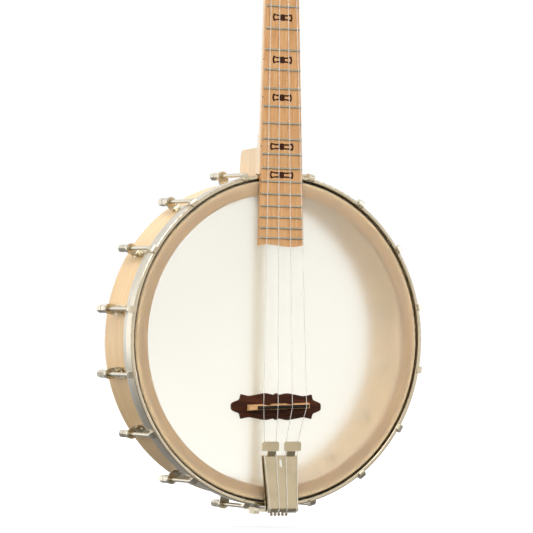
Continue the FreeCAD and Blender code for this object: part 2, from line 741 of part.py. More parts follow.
def tailpiece_cover():
    """Upper plate with both prongs, wrapped over the tail end."""
    sheet = bent_sheet(TAIL_FRONT_Y, TAIL_OUTER_Z, TAIL_SHEET, TAIL_ROUND).common(tail_plans())
    sheet = sheet.cut(bolt_clearance()).cut(tail_slot(1.8, -114, -121.5))
    for pin in string_pins():
        sheet = sheet.cut(pin)
    return sheet.fuse([prong(-1), prong(1)]).removeSplitter()


def tailpiece_base():
    """Lower plate, nested inside the upper one at the tail end."""
    outer_z = TAIL_OUTER_Z + TAIL_SHEET
    sheet = bent_sheet(TAIL_BASE_Y, outer_z, TAIL_SHEET, 3.0).common(tail_plans())
    return sheet.cut(bolt_clearance()).cut(tail_slot(4.8, -112.8, -122.6))


def string_pins():
    """Five pins riveted in the tail end, for the string ends."""
    pins = []
    for x in PINS_X:
        ball = Vector(x, PINS_Y, TAIL_OUTER_Z - 2.4)
        shank = rod(Vector(x, PINS_Y, TAIL_OUTER_Z + TAIL_SHEET), ball, 1.0)
        pins.append(shank.fuse(Part.makeSphere(1.5, ball)))
    return pins


def tailpiece_spacer():
    """Tube that carries the tailpiece clear of the rim."""
    inner_z = TAIL_OUTER_Z + 2 * TAIL_SHEET
    tube = washer(6.0, BOLT_RADIUS + 0.1, -RIM_RADIUS - 0.05 - inner_z)
    return moved(tube, Placement(Vector(0, ROD_Y, inner_z), Rotation()))


def tailpiece_bolt():
    """Bolt through tailpiece, spacer and rim into the rod."""
    head = standing(hex_bar(10, 4), Vector(0, ROD_Y, TAIL_OUTER_Z), Vector(0, 0, -1))
    shank = rod(Vector(0, ROD_Y, TAIL_OUTER_Z - 1), Vector(0, ROD_Y, -BOLT_IN_ROD), BOLT_RADIUS)
    return head.fuse(shank)


# ---- strings -------------------------------------------------------------

def winding_start(index):
    """Where a string leaves its post, just clear of it, on the side towards the middle."""
    order = (1, 0, 3, 2)
    _, side, z = POSTS[order[index]]
    inner_x = side * (POST_X - POST_RADIUS - STRING_RADIUS - 0.4)
    return PEG_PLACE.multVec(Vector(inner_x, POST_HOLE_Y + 4, z))


def string_route(index):
    """Points that one string runs through, from its post to its pin."""
    slope = math.atan2(TAIL_FRONT_Y[0] - TAIL_FRONT_Y[1], TAIL_START_Z - TAIL_OUTER_Z)
    lift = STRING_RADIUS + STRING_LIFT
    nut = NECK_PLACE.multVec(Vector(STRINGS_AT_NUT[index], BOARD_Y - STRING_AT_NUT, NUT_Z + 1))
    under_prong_y = PRONG_Y + TAIL_SHEET + lift
    prong_x = STRINGS_AT_PRONGS[index]
    tail_x = STRINGS_AT_TAIL[index]
    points = [
        winding_start(index), nut,
        Vector(STRINGS_AT_BRIDGE[index], BRIDGE_TOP_Y - 0.15, BRIDGE_Z),
        Vector(prong_x, under_prong_y, -98), Vector(prong_x, under_prong_y, -106),
        Vector(prong_x, TAIL_FRONT_Y[0] - lift, TAIL_START_Z),
    ]
    centre_z = TAIL_OUTER_Z + TAIL_ROUND
    front_y = TAIL_FRONT_Y[0] - (TAIL_START_Z - centre_z) * math.tan(slope)
    centre_y = front_y + TAIL_ROUND / math.cos(slope)
    reach = TAIL_ROUND + lift
    for step in range(6):
        angle = (math.pi / 2 + slope) * step / 5 - slope
        points.append(Vector(tail_x, centre_y - reach * math.cos(angle), centre_z - reach * math.sin(angle)))
    pin_x = PINNED_AT[index]
    points.append(Vector(pin_x, PINS_Y - 1.0 - lift, TAIL_OUTER_Z - lift))
    return points


def strings():
    """Four nylon strings, each of straight runs joined by balls."""
    made = []
    for index in range(4):
        points = string_route(index)
        runs = [rod(start, end, STRING_RADIUS) for start, end in zip(points, points[1:])]
        balls = [Part.makeSphere(STRING_RADIUS, point) for point in points[1:-1]]
        made.append(runs[0].fuse(runs[1:] + balls))
    return made


# ---- tuners, built in the peghead's frame --------------------------------

def tuner_plate(side, z):
    """Base plate on the back of the peghead, with an ear for the screw."""
    back = OVERLAY + PEG_THICK
    x = side * POST_X
    sheet = plate([
        (x - 7.5, z - 7.5, 1), (x - 4, z - 14.5, 3), (x + 4, z - 14.5, 3), (x + 7.5, z - 7.5, 1),
        (x + 7.5, z + 13.5, 1.5), (x - 7.5, z + 13.5, 1.5),
    ], "y", back, back + 1.2)
    post_hole = rod(Vector(x, back - 1, z), Vector(x, back + 2, z), POST_RADIUS + RUNNING_FIT)
    ear = screw_spot(side, z)
    screw_hole = rod(ear - Vector(0, 1, 0), ear + Vector(0, 2, 0), 1.3)
    return sheet.cut(post_hole).cut(screw_hole)


def tuner_cover(side, z):
    """Closed shell over worm and gear."""
    front = OVERLAY + PEG_THICK + 1.2
    x = side * POST_X
    shell = block((x - 7.5, x + 7.5), (front, front + 8.4), (z - 7.5, z + 13.5))
    shell = shell.makeFillet(1.4, [edge for edge in shell.Edges if edge.CenterOfMass.y > front + 0.1])
    hollow = block((x - 6.1, x + 6.1), (front - 1, front + 7.2), (z - 6.2, z + 12.6))
    shaft = rod(Vector(x - 10, WORM_Y, z + WORM_OFFSET), Vector(x + 10, WORM_Y, z + WORM_OFFSET),
                WORM_SHAFT + RUNNING_FIT)
    return shell.cut(hollow).cut(shaft)


def tuner_bushing(side, z):
    """Hexagonal-headed sleeve that guides the post through the peghead."""
    x = side * POST_X
    sleeve = rod(Vector(x, -1, z), Vector(x, 9, z), BUSHING_RADIUS)
    head = standing(hex_bar(11, 2.4), Vector(x, -1, z), Vector(0, -1, 0))
    bore = rod(Vector(x, -5, z), Vector(x, 10, z), POST_RADIUS + RUNNING_FIT)
    return sleeve.fuse(head).cut(bore)


def tuner_washer(side, z):
    """Washer under the bushing's head."""
    flat = washer(7.0, BUSHING_RADIUS + 0.1, 1.0)
    return standing(flat, Vector(side * POST_X, 0, z), Vector(0, -1, 0))


def tuner_screw(side, z):
    """Small round-head screw through the plate's ear."""
    ear = screw_spot(side, z)
    head = Part.makeSphere(2.2, ear + Vector(0, 1.2, 0))
    head = head.common(block((-60, 60), (ear.y + 1.2, ear.y + 5), (0, 200)))
    head = head.cut(block((ear.x - 3, ear.x + 3), (ear.y + 2.7, ear.y + 5), (ear.z - 0.3, ear.z + 0.3)))
    return head.fuse(rod(ear - Vector(0, 9, 0), ear + Vector(0, 1.5, 0), 1.2))


def string_post(side, z):
    """Post with a string hole, a waist for the windings and a seat for the gear."""
    x = side * POST_X
    tip = Part.makeCylinder(POST_RADIUS, 30)
    tip = tip.makeFillet(1.0, [max(round_edges(tip), key=lambda edge: edge.CenterOfMass.z)])
    body = standing(tip, Vector(x, POST_FRONT_Y + 30, z), Vector(0, -1, 0))
    shoulder_y = WORM_Y - GEAR_HALF - 0.2
    body = body.cut(block((x - 5, x + 5), (shoulder_y, 40), (z - 5, z + 5)))
    seat = rod(Vector(x, shoulder_y - 1, z), Vector(x, WORM_Y + GEAR_HALF - 0.1, z), 2.0)
    hole = rod(Vector(x - 5, POST_HOLE_Y, z), Vector(x + 5, POST_HOLE_Y, z), 0.9)
    thread = rod(Vector(x, 15, z), Vector(x, 22, z), 1.0)
    return body.fuse(seat).cut(hole).cut(thread)


def worm_gear(side, z):
    """Brass gear on the inner end of the post."""
    root, tip = GEAR_RADIUS
    pitch = 360 / GEAR_TEETH
    corners = []
    for tooth in range(GEAR_TEETH):
        for turn, radius in ((-0.32, root), (-0.14, tip), (0.14, tip), (0.32, root)):
            angle = math.radians((tooth + turn) * pitch)
            corners.append((side * POST_X + radius * math.cos(angle), z + radius * math.sin(angle)))
    wheel = plate(corners, "y", WORM_Y - GEAR_HALF, WORM_Y + GEAR_HALF)
    return wheel.cut(rod(Vector(side * POST_X, 16, z), Vector(side * POST_X, 22, z), 2.02))


def gear_screw(side, z):
    """Screw that holds the gear on the post."""
    x = side * POST_X
    under_head = WORM_Y + GEAR_HALF
    head = rod(Vector(x, under_head, z), Vector(x, under_head + 1.1, z), 2.6)
    head = head.cut(block((x - 4, x + 4), (under_head + 0.6, under_head + 2), (z - 0.25, z + 0.25)))
    return head.fuse(rod(Vector(x, under_head - 5, z), Vector(x, under_head + 0.2, z), 0.98))


def worm_shaft(side, z):
    """Shaft from the worm out to the button; the thread is drawn as closed ridges."""
    start = POST_X - 7.4
    length = BUTTON_X[1] - 4 - start
    worm_half = 4.5
    ridges = 5
    step = 2 * worm_half / ridges
    first = POST_X - worm_half - start
    profile = [(0, 0), (WORM_SHAFT, 0), (WORM_SHAFT, first)]
    for ridge in range(ridges):
        base = first + ridge * step
        profile += [(WORM_RADIUS - 0.9, base), (WORM_RADIUS, base + 0.35 * step),
                    (WORM_RADIUS, base + 0.65 * step)]
    profile += [(WORM_RADIUS - 0.9, first + 2 * worm_half), (WORM_SHAFT, first + 2 * worm_half),
                (WORM_SHAFT, length), (0, length)]
    shaft = Part.Face(outline(profile, "y", 0)).revolve(ORIGIN, Vector(0, 0, 1), 360)
    return standing(shaft, Vector(side * start, WORM_Y, z + WORM_OFFSET), Vector(side, 0, 0))


def button(side, z):
    """Knob on the outer end of the worm shaft."""
    near, far = BUTTON_X
    middle = z + WORM_OFFSET
    knob = plate([
        (side * near, middle - 4, 2), (side * (near + 5), middle - 8.5, 5), (side * far, middle - 7, 5),
        (side * far, middle + 7, 5), (side * (near + 5), middle + 8.5, 5), (side * near, middle + 4, 2),
    ], "y", WORM_Y - 3.6, WORM_Y + 3.6)
    rims = [edge for edge in knob.Edges if abs(abs(edge.CenterOfMass.y - WORM_Y) - 3.6) < 0.01]
    knob = knob.makeFillet(1.8, rims)
    bore = rod(Vector(side * (near - 1), WORM_Y, middle), Vector(side * (far - 3.9), WORM_Y, middle),
               WORM_SHAFT + 0.02)
    return knob.cut(bore)


def on_peghead(shapes):
    """Move pieces from the peghead's frame to their place."""
    return [moved(shape, PEG_PLACE) for shape in shapes]


# ---- write every node ----------------------------------------------------

def write_pot():
    save("rim", rim())
    save("head_film", head_film())
    save("flesh_hoop", flesh_hoop())
    save("tension_hoop", tension_hoop())
    save("hooks", *round_pot(hook()))
    save("hook_nuts", *round_pot(hook_nut()))
    save("bracket_shoes", *round_pot(shoe()))
    save("shoe_bolts", *round_pot(shoe_bolt()))
    save("shoe_washers", *round_pot(shoe_washer()))
    save("coordinator_rod", coordinator_rod())
    save("heel_bolts", *heel_bolts())
    save("rod_nuts", *inner_stack(hex_bar(BIG_NUT_WIDTH, 5, BOLT_RADIUS + RUNNING_FIT), ROD_END + 1.5))
    save("rod_washers", *inner_stack(washer(BIG_WASHER_RADIUS, BOLT_RADIUS + 0.2, 1.4), ROD_END + 6.5))


def write_neck():
    board = board_blank()
    markers = inlays()
    dots = side_dots(board)
    slotted = fretboard(board, markers + dots)
    frets = [fret(number) for number in range(1, FRETS + 1)]
    save("neck", neck())
    save("fretboard", moved(slotted, NECK_PLACE))
    save("frets", *[moved(piece, NECK_PLACE) for piece in frets])
    save("inlays", *[moved(piece, NECK_PLACE) for piece in markers])
    save("side_dots", *[moved(piece, NECK_PLACE) for piece in dots])
    save("string_nut", string_nut())
    save("peghead_overlay", *on_peghead([peghead_overlay()]))


def write_bridge_and_tail():
    save("bridge_plate", bridge_plate())
    save("bridge_body", bridge_body())
    save("bridge_cap", bridge_cap())
    save("tailpiece_cover", tailpiece_cover())
    save("tailpiece_base", tailpiece_base())
    save("string_pins", *string_pins())
    save("tailpiece_spacer", tailpiece_spacer())
    save("tailpiece_bolt", tailpiece_bolt())
    save("strings", *strings())


def write_tuners():
    shared = (
        ("tuner_plates", tuner_plate), ("tuner_covers", tuner_cover), ("tuner_bushings", tuner_bushing),
        ("tuner_washers", tuner_washer), ("tuner_screws", tuner_screw),
    )
    for name, make in shared:
        save(name, *on_peghead([make(side, z) for _, side, z in POSTS]))
    own = (
        ("string_post", string_post), ("worm_gear", worm_gear), ("gear_screw", gear_screw),
        ("worm_shaft", worm_shaft), ("button", button),
    )
    for name, make in own:
        for number, side, z in POSTS:
            save("%s_%s" % (name, number), *on_peghead([make(side, z)]))


write_pot()
write_neck()
write_bridge_and_tail()
write_tuners()
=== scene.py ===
import json
import math
import bmesh
import bpy
from mathutils import Matrix, Vector


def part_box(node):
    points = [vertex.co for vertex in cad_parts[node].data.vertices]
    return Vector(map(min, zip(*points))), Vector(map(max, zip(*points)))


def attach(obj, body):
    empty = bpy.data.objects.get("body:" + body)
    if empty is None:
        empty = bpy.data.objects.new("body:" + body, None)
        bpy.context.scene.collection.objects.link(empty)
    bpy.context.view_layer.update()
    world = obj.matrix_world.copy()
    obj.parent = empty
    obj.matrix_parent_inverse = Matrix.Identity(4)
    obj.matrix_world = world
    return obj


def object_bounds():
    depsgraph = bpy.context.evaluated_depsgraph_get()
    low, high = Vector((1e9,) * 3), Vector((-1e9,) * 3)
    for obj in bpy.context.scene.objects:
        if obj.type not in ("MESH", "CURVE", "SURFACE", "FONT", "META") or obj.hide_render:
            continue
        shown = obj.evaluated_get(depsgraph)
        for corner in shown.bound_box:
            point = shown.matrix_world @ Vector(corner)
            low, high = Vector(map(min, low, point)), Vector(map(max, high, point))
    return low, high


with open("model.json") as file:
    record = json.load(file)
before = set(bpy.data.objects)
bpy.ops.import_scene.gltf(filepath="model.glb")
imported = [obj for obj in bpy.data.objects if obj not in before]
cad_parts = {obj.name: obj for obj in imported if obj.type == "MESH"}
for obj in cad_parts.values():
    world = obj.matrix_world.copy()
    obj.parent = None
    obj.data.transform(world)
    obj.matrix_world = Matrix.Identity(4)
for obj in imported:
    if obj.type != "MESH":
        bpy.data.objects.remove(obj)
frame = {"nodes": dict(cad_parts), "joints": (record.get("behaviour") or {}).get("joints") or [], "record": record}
cad_low, cad_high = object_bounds()

# Open-back banjo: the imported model's pieces get their finishes here, and the small things that
# only the eye needs (string windings and string loops) are added.  Metres throughout.

MM = 0.001

STRING_RADIUS = 0.36 * MM
POST_RADIUS = 3.0 * MM
POST_HOLE_HEIGHT = 8.0 * MM
WINDING_START = 4.0 * MM
WINDING_TURNS = 3.6
WINDING_PITCH = 2.15 * STRING_RADIUS
STEPS_PER_TURN = 16
PIN_COUNT = 5
PIN_BALL = 1.5 * MM
PINS_WITH_STRINGS = (0, 1, 3, 4)
LOOP_RADIUS = 1.42 * MM
LOOP_ABOVE_BALL = 1.95 * MM
LOOP_POINTS = 12
FLOOR_GAP = 0.012
FLOOR_RADIUS = 14.0
WORLD_MIDDLE = (0.0, 0.0, 0.1)


# ---- camera, floor and light ---------------------------------------------

def make_camera():
    """Camera in front of the head and to its left, a touch below the middle, rolled one degree."""
    target = Vector((-0.0147, -0.070, 0.0705))
    azimuth = math.radians(28.92)
    rise = math.radians(0.78)
    roll = math.radians(0.967)
    distance = 3.706
    ahead = Vector((
        math.sin(azimuth) * math.cos(rise), math.cos(azimuth) * math.cos(rise), math.sin(rise),
    ))
    data = bpy.data.cameras.new("camera")
    data.lens = 260.97
    data.sensor_width = 36.0
    data.clip_end = 200.0
    camera = bpy.data.objects.new("camera", data)
    turn = ahead.to_track_quat("-Z", "Y").to_matrix().to_4x4()
    camera.matrix_world = (
        Matrix.Translation(target - ahead * distance) @ turn @ Matrix.Rotation(roll, 4, "Z")
    )
    bpy.context.scene.collection.objects.link(camera)
    bpy.context.scene.camera = camera


def make_floor():
    """Plain pale floor just under the lowest point."""
    mesh = bpy.data.meshes.new("floor")
    form = bmesh.new()
    bmesh.ops.create_circle(form, cap_ends=True, segments=96, radius=FLOOR_RADIUS)
    form.to_mesh(mesh)
    form.free()
    floor = bpy.data.objects.new("floor", mesh)
    floor.location.z = cad_low.z - FLOOR_GAP
    floor.visible_diffuse = False
    floor.visible_glossy = False
    bpy.context.scene.collection.objects.link(floor)
    tree = Nodes("floor_paint")
    grain = tree.noise(tree.place(), 3.0, 2.0)
    colour = tree.ramp(grain, [(0.3, (0.40, 0.40, 0.40)), (0.7, (0.42, 0.42, 0.42))])
    tree.surface(
        colour, 1.0, Emission_Color=(1.0, 1.0, 1.0), Emission_Strength=0.75, Specular_IOR_Level=0.0,
    )
    mesh.materials.append(tree.material)


def area_light(name, place, aim, size, power, tint=(1.0, 1.0, 1.0), mirrored=True):
    """Square soft light at place, aimed at a point; metal shows it only if mirrored."""
    data = bpy.data.lights.new(name, "AREA")
    data.shape = "SQUARE"
    data.size = size
    data.energy = power
    data.color = tint
    lamp = bpy.data.objects.new(name, data)
    lamp.visible_glossy = mirrored
    lamp.location = place
    lamp.rotation_euler = (Vector(aim) - Vector(place)).to_track_quat("-Z", "Y").to_euler()
    bpy.context.scene.collection.objects.link(lamp)


def make_lights():
    """Large soft boxes round a white studio."""
    area_light("key", (-1.4, -1.8, 3.0), WORLD_MIDDLE, 2.2, 64.0, (1.0, 0.98, 0.95))
    area_light("spot", (0.5, -3.4, 1.3), WORLD_MIDDLE, 0.5, 31.0, (1.0, 0.98, 0.95), mirrored=False)
    area_light("fill", (2.8, -1.2, 1.2), WORLD_MIDDLE, 2.2, 21.0)
    area_light("side", (-3.2, 0.5, 0.0), WORLD_MIDDLE, 2.2, 26.0, mirrored=False)
    area_light("back", (-0.4, 2.6, 2.2), WORLD_MIDDLE, 2.4, 48.0, mirrored=False)


def make_world():
    """White studio: seen and lit through the head as white, mirrored with darker walls."""
    world = bpy.data.worlds.new("studio")
    world.use_nodes = True
    bpy.context.scene.world = world
    nodes, links = world.node_tree.nodes, world.node_tree.links
    nodes.clear()
    output = nodes.new("ShaderNodeOutputWorld")
    seen = nodes.new("ShaderNodeBackground")
    seen.inputs["Color"].default_value = (1.0, 1.0, 1.0, 1.0)
    seen.inputs["Strength"].default_value = 1.0
    walls = nodes.new("ShaderNodeBackground")
    direction = nodes.new("ShaderNodeTexCoord")
    split = nodes.new("ShaderNodeSeparateXYZ")
    links.new(direction.outputs["Generated"], split.inputs[0])
    ramp = nodes.new("ShaderNodeValToRGB")
    ramp.color_ramp.elements[0].color = (0.66, 0.61, 0.53, 1.0)
    ramp.color_ramp.elements[1].color = (1.0, 1.0, 1.0, 1.0)
    spread = nodes.new("ShaderNodeMapRange")
    spread.inputs["From Min"].default_value = -0.8
    spread.inputs["From Max"].default_value = 0.5
    links.new(split.outputs["Y"], spread.inputs["Value"])
    links.new(spread.outputs["Result"], ramp.inputs["Fac"])
    links.new(ramp.outputs["Color"], walls.inputs["Color"])
    level = nodes.new("ShaderNodeMapRange")
    level.inputs["From Min"].default_value = -1.0
    level.inputs["From Max"].default_value = 1.0
    links.new(split.outputs["Z"], level.inputs["Value"])
    height = nodes.new("ShaderNodeValToRGB")
    bands = (
        (0.0, 0.24), (0.30, 0.28), (0.41, 0.64), (0.47, 1.30),
        (0.58, 1.35), (0.66, 0.95), (0.80, 1.0), (1.0, 1.0),
    )
    while len(height.color_ramp.elements) < len(bands):
        height.color_ramp.elements.new(0.5)
    for element, (position, value) in zip(height.color_ramp.elements, bands):
        element.position = position
        element.color = (value, value, value, 1.0)
    links.new(level.outputs["Result"], height.inputs["Fac"])
    links.new(height.outputs["Color"], walls.inputs["Strength"])
    rays = nodes.new("ShaderNodeLightPath")
    either = nodes.new("ShaderNodeMath")
    either.operation = "MAXIMUM"
    links.new(rays.outputs["Is Camera Ray"], either.inputs[0])
    links.new(rays.outputs["Is Transmission Ray"], either.inputs[1])
    mix = nodes.new("ShaderNodeMixShader")
    links.new(either.outputs[0], mix.inputs[0])
    links.new(walls.outputs[0], mix.inputs[1])
    links.new(seen.outputs[0], mix.inputs[2])
    links.new(mix.outputs[0], output.inputs["Surface"])
    bpy.context.scene.view_settings.view_transform = "Standard"


# ---- material building ---------------------------------------------------

class Nodes:
    """Short calls that build one material's node tree."""

    def __init__(self, name):
        self.material = bpy.data.materials.new(name)
        self.material.use_nodes = True
        self.tree = self.material.node_tree
        self.tree.nodes.clear()
        self.output = self.add("ShaderNodeOutputMaterial")

    def add(self, kind, **settings):
        node = self.tree.nodes.new(kind)
        for key, value in settings.items():
            setattr(node, key, value)
        return node

    def feed(self, socket, value):
        """Link a socket, or set a plain value."""
        if isinstance(value, bpy.types.NodeSocket):
            self.tree.links.new(value, socket)
        elif isinstance(value, (tuple, list)) and len(value) == 3 and socket.type == "RGBA":
            socket.default_value = (*value, 1.0)
        else:
            socket.default_value = value

    def place(self):
        """Position in the object's own frame."""
        return self.add("ShaderNodeTexCoord").outputs["Object"]

    def math(self, operation, first, second=0.0):
        node = self.add("ShaderNodeMath", operation=operation)
        for socket, value in zip(node.inputs, (first, second)):
            self.feed(socket, value)
        return node.outputs[0]

    def split(self, vector):
        node = self.add("ShaderNodeSeparateXYZ")
        self.feed(node.inputs[0], vector)
        return node.outputs

    def join(self, x, y, z):
        node = self.add("ShaderNodeCombineXYZ")
        for socket, value in zip(node.inputs, (x, y, z)):
            self.feed(socket, value)
        return node.outputs[0]

    def stretch(self, vector, scale):
        """Vector with each axis scaled."""
        node = self.add("ShaderNodeMapping")
        self.feed(node.inputs["Vector"], vector)
        node.inputs["Scale"].default_value = scale
        return node.outputs[0]

    def noise(self, vector, scale, detail=4.0, rough=0.55, distortion=0.0):
        node = self.add("ShaderNodeTexNoise")
        self.feed(node.inputs["Vector"], vector)
        node.inputs["Scale"].default_value = scale
        node.inputs["Detail"].default_value = detail
        node.inputs["Roughness"].default_value = rough
        node.inputs["Distortion"].default_value = distortion
        return node.outputs[0]

    def span(self, value, low, high, to_low=0.0, to_high=1.0):
        """Value's range low to high spread over to_low to to_high."""
        node = self.add("ShaderNodeMapRange")
        for name, number in (("Value", value), ("From Min", low), ("From Max", high),
                             ("To Min", to_low), ("To Max", to_high)):
            self.feed(node.inputs[name], number)
        return node.outputs[0]

    def ramp(self, value, stops):
        node = self.add("ShaderNodeValToRGB")
        self.feed(node.inputs[0], value)
        elements = node.color_ramp.elements
        while len(elements) < len(stops):
            elements.new(0.5)
        for element, (position, colour) in zip(elements, stops):
            element.position = position
            element.color = (*colour, 1.0)
        return node.outputs[0]

    def mix(self, share, first, second, blend="MIX"):
        node = self.add("ShaderNodeMix", data_type="RGBA", blend_type=blend)
        self.feed(node.inputs[0], share)
        self.feed(node.inputs[6], first)
        self.feed(node.inputs[7], second)
        return node.outputs[2]

    def bump(self, height, distance, strength):
        node = self.add("ShaderNodeBump")
        self.feed(node.inputs["Height"], height)
        node.inputs["Distance"].default_value = distance
        node.inputs["Strength"].default_value = strength
        return node.outputs[0]

    def surface(self, colour, roughness=0.5, normal=None, **sockets):
        """Principled surface on the output; sockets are plain numbers, colours or links."""
        node = self.add("ShaderNodeBsdfPrincipled")
        self.feed(node.inputs["Base Color"], colour)
        self.feed(node.inputs["Roughness"], roughness)
        if normal is not None:
            self.feed(node.inputs["Normal"], normal)
        for name, value in sockets.items():
            self.feed(node.inputs[name.replace("_", " ")], value)
        self.tree.links.new(node.outputs[0], self.output.inputs["Surface"])
        return self.material


# ---- wood ----------------------------------------------------------------

def long_grain(tree, swap=False):
    """Position with the grain along Z, or along X when swapped."""
    place = tree.place()
    if swap:
        x, y, z = tree.split(place)
        return tree.join(z, y, x)
    return place


def hoop_grain(tree):
    """Position unrolled round the pot's axis, so the grain follows the rim."""
    x, y, z = tree.split(tree.place())
    square = tree.math("ADD", tree.math("MULTIPLY", x, x), tree.math("MULTIPLY", z, z))
    radius = tree.math("SQRT", square)
    angle = tree.math("ARCTAN2", x, z)
    return tree.join(radius, y, tree.math("MULTIPLY", angle, 0.15)), radius


def wood_finish(tree, vector, tones, streaks, pores, gloss, coat, tint=None, calm=0.0, shine=0.5):
    """Streaked wood: tones run pale to dark; streaks and pores are sizes across the grain.

    A higher calm gives weaker streaks, a lower shine weaker reflections."""
    pale, middle, dark = tones
    across = 1.0 / streaks
    bands = tree.noise(tree.stretch(vector, (across, across, across / 22)), 1.0, 5.0, 0.6, 0.35)
    fine = tree.noise(tree.stretch(vector, (4 * across, 4 * across, across / 9)), 1.0, 3.0, 0.6)
    cloud = tree.noise(vector, 14.0, 3.0, 0.5)
    colour = tree.ramp(bands, [(0.30 - calm, dark), (0.50, middle), (0.70 + calm, pale)])
    shade = tree.span(fine, 0.3, 0.7, 0.86, 1.08)
    colour = tree.mix(1.0, colour, tree.join(shade, shade, shade), "MULTIPLY")
    drift = tree.span(cloud, 0.3, 0.7, 0.94, 1.05)
    colour = tree.mix(1.0, colour, tree.join(drift, drift, drift), "MULTIPLY")
    if tint is not None:
        colour = tree.mix(1.0, colour, tint, "MULTIPLY")
    pore = tree.noise(tree.stretch(vector, (1 / pores, 1 / pores, 0.03 / pores)), 1.0, 2.0, 0.5)
    hollow = tree.span(pore, 0.60, 0.74)
    colour = tree.mix(tree.math("MULTIPLY", hollow, 0.35), colour, dark)
    height = tree.math("SUBTRACT", tree.math("MULTIPLY", fine, 0.3), hollow)
    normal = tree.bump(height, 0.00004, 0.5)
    roughness = tree.span(fine, 0.3, 0.7, gloss, gloss + 0.12)
    return tree.surface(
        colour, roughness, normal, Coat_Weight=coat, Coat_Roughness=0.12, Specular_IOR_Level=shine,
    )


def rim_maple():
    """Bent maple plies with their glue lines, with painted shade inside the rim that is darkest at its front edge.
    """
    tree = Nodes("rim_maple")
    vector, radius = hoop_grain(tree)
    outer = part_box("rim")[1].x
    front_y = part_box("rim")[0].y
    ply = 4.0 * MM
    depth = tree.math("SUBTRACT", outer, radius)
    step = tree.math("FRACT", tree.math("DIVIDE", depth, ply))
    from_line = tree.math("ABSOLUTE", tree.math("SUBTRACT", step, 0.97))
    line = tree.math("LESS_THAN", from_line, 0.03)
    layer = tree.math("FLOOR", tree.math("DIVIDE", depth, ply))
    tone = tree.math("SUBTRACT", 1.0, tree.math("MULTIPLY", tree.math("MODULO", layer, 2.0), 0.10))
    glue = tree.math("MULTIPLY", line, 0.45)
    tint = tree.mix(glue, tree.join(tone, tone, tone), (0.45, 0.30, 0.18))
    # Painted shade: the inside of the rim is darkened and warmed, more strongly towards the front edge, to stand
    # in for the shade there.
    painted_shade_inner = tree.span(depth, 2 * MM, 6 * MM)
    front = tree.span(tree.split(vector)[1], front_y + 9 * MM, front_y + 3 * MM)
    shade = tree.mix(front, (1.0, 0.95, 0.84), (0.66, 0.50, 0.26))
    tint = tree.mix(painted_shade_inner, tint, tree.mix(1.0, tint, shade, "MULTIPLY"))
    tones = ((0.81, 0.58, 0.315), (0.77, 0.535, 0.275), (0.69, 0.45, 0.215))
    return wood_finish(tree, vector, tones, 0.0045, 0.0005, 0.34, 0.25, tint, calm=0.12)


def neck_maple():
    """Maple of the neck, heel and peghead, grain along the neck."""
    tree = Nodes("neck_maple")
    tones = ((0.82, 0.65, 0.44), (0.78, 0.60, 0.39), (0.71, 0.51, 0.32))
    return wood_finish(tree, long_grain(tree), tones, 0.005, 0.0005, 0.34, 0.25, calm=0.10)


def board_maple():
    """Reddish maple of the fretboard, bare and finely streaked."""
    tree = Nodes("board_maple")
    tones = ((0.73, 0.45, 0.22), (0.66, 0.365, 0.160), (0.53, 0.26, 0.10))
    return wood_finish(tree, long_grain(tree), tones, 0.0016, 0.0004, 0.45, 0.05)


def bridge_maple():
    """Orange maple of the bridge, grain along it."""
    tree = Nodes("bridge_maple")
    tones = ((0.80, 0.52, 0.28), (0.72, 0.42, 0.20), (0.55, 0.29, 0.12))
    return wood_finish(tree, long_grain(tree, swap=True), tones, 0.0016, 0.0003, 0.36, 0.15)


def rosewood(swap):
    """Dark streaky rosewood; swap lays the grain along X."""
    tree = Nodes("rosewood_plate" if swap else "rosewood_overlay")
    tones = ((0.096, 0.029, 0.013), (0.050, 0.014, 0.006), (0.016, 0.006, 0.003))
    return wood_finish(tree, long_grain(tree, swap), tones, 0.0020, 0.00045, 0.42, 0.0, shine=0.15)


def ebony():
    """Near-black ebony."""
    tree = Nodes("ebony_cap")
    tones = ((0.030, 0.024, 0.020), (0.016, 0.013, 0.011), (0.008, 0.007, 0.006))
    return wood_finish(tree, long_grain(tree, swap=True), tones, 0.0015, 0.0003, 0.42, 0.0, shine=0.15)


def inlay_wood():
    """Near-black brown wood of the bow ties."""
    tree = Nodes("inlay_wood")
    tones = ((0.075, 0.026, 0.014), (0.048, 0.016, 0.009), (0.022, 0.008, 0.005))
    return wood_finish(tree, long_grain(tree), tones, 0.0014, 0.0004, 0.50, 0.0, shine=0.10)


# ---- metal ---------------------------------------------------------------

def plated(name, colour, roughness, brushed=None, wear=0.5):
    """Plated or bare metal with faint cloudiness, fine scratches and handling marks."""
    tree = Nodes(name)
    place = tree.place()
    cloud = tree.noise(place, 60.0, 4.0, 0.6)
    marks = tree.noise(tree.stretch(place, (900.0, 900.0, 260.0)), 1.0, 3.0, 0.6, 0.4)
    dull = tuple(0.72 * channel for channel in colour)
    shade = tree.math("MULTIPLY", tree.span(cloud, 0.45, 0.75), wear)
    tone = tree.mix(shade, colour, dull)
    rough = tree.math("ADD", tree.span(cloud, 0.3, 0.75, roughness, roughness + 0.10),
                      tree.span(marks, 0.35, 0.7, 0.0, 0.06))
    height = marks
    depth = 0.000004
    if brushed is not None:
        height = tree.noise(tree.stretch(place, brushed), 1.0, 3.0, 0.65)
        depth = 0.000012
    normal = tree.bump(height, depth, 0.5)
    return tree.surface(tone, rough, normal, Metallic=1.0)


# ---- other finishes ------------------------------------------------------

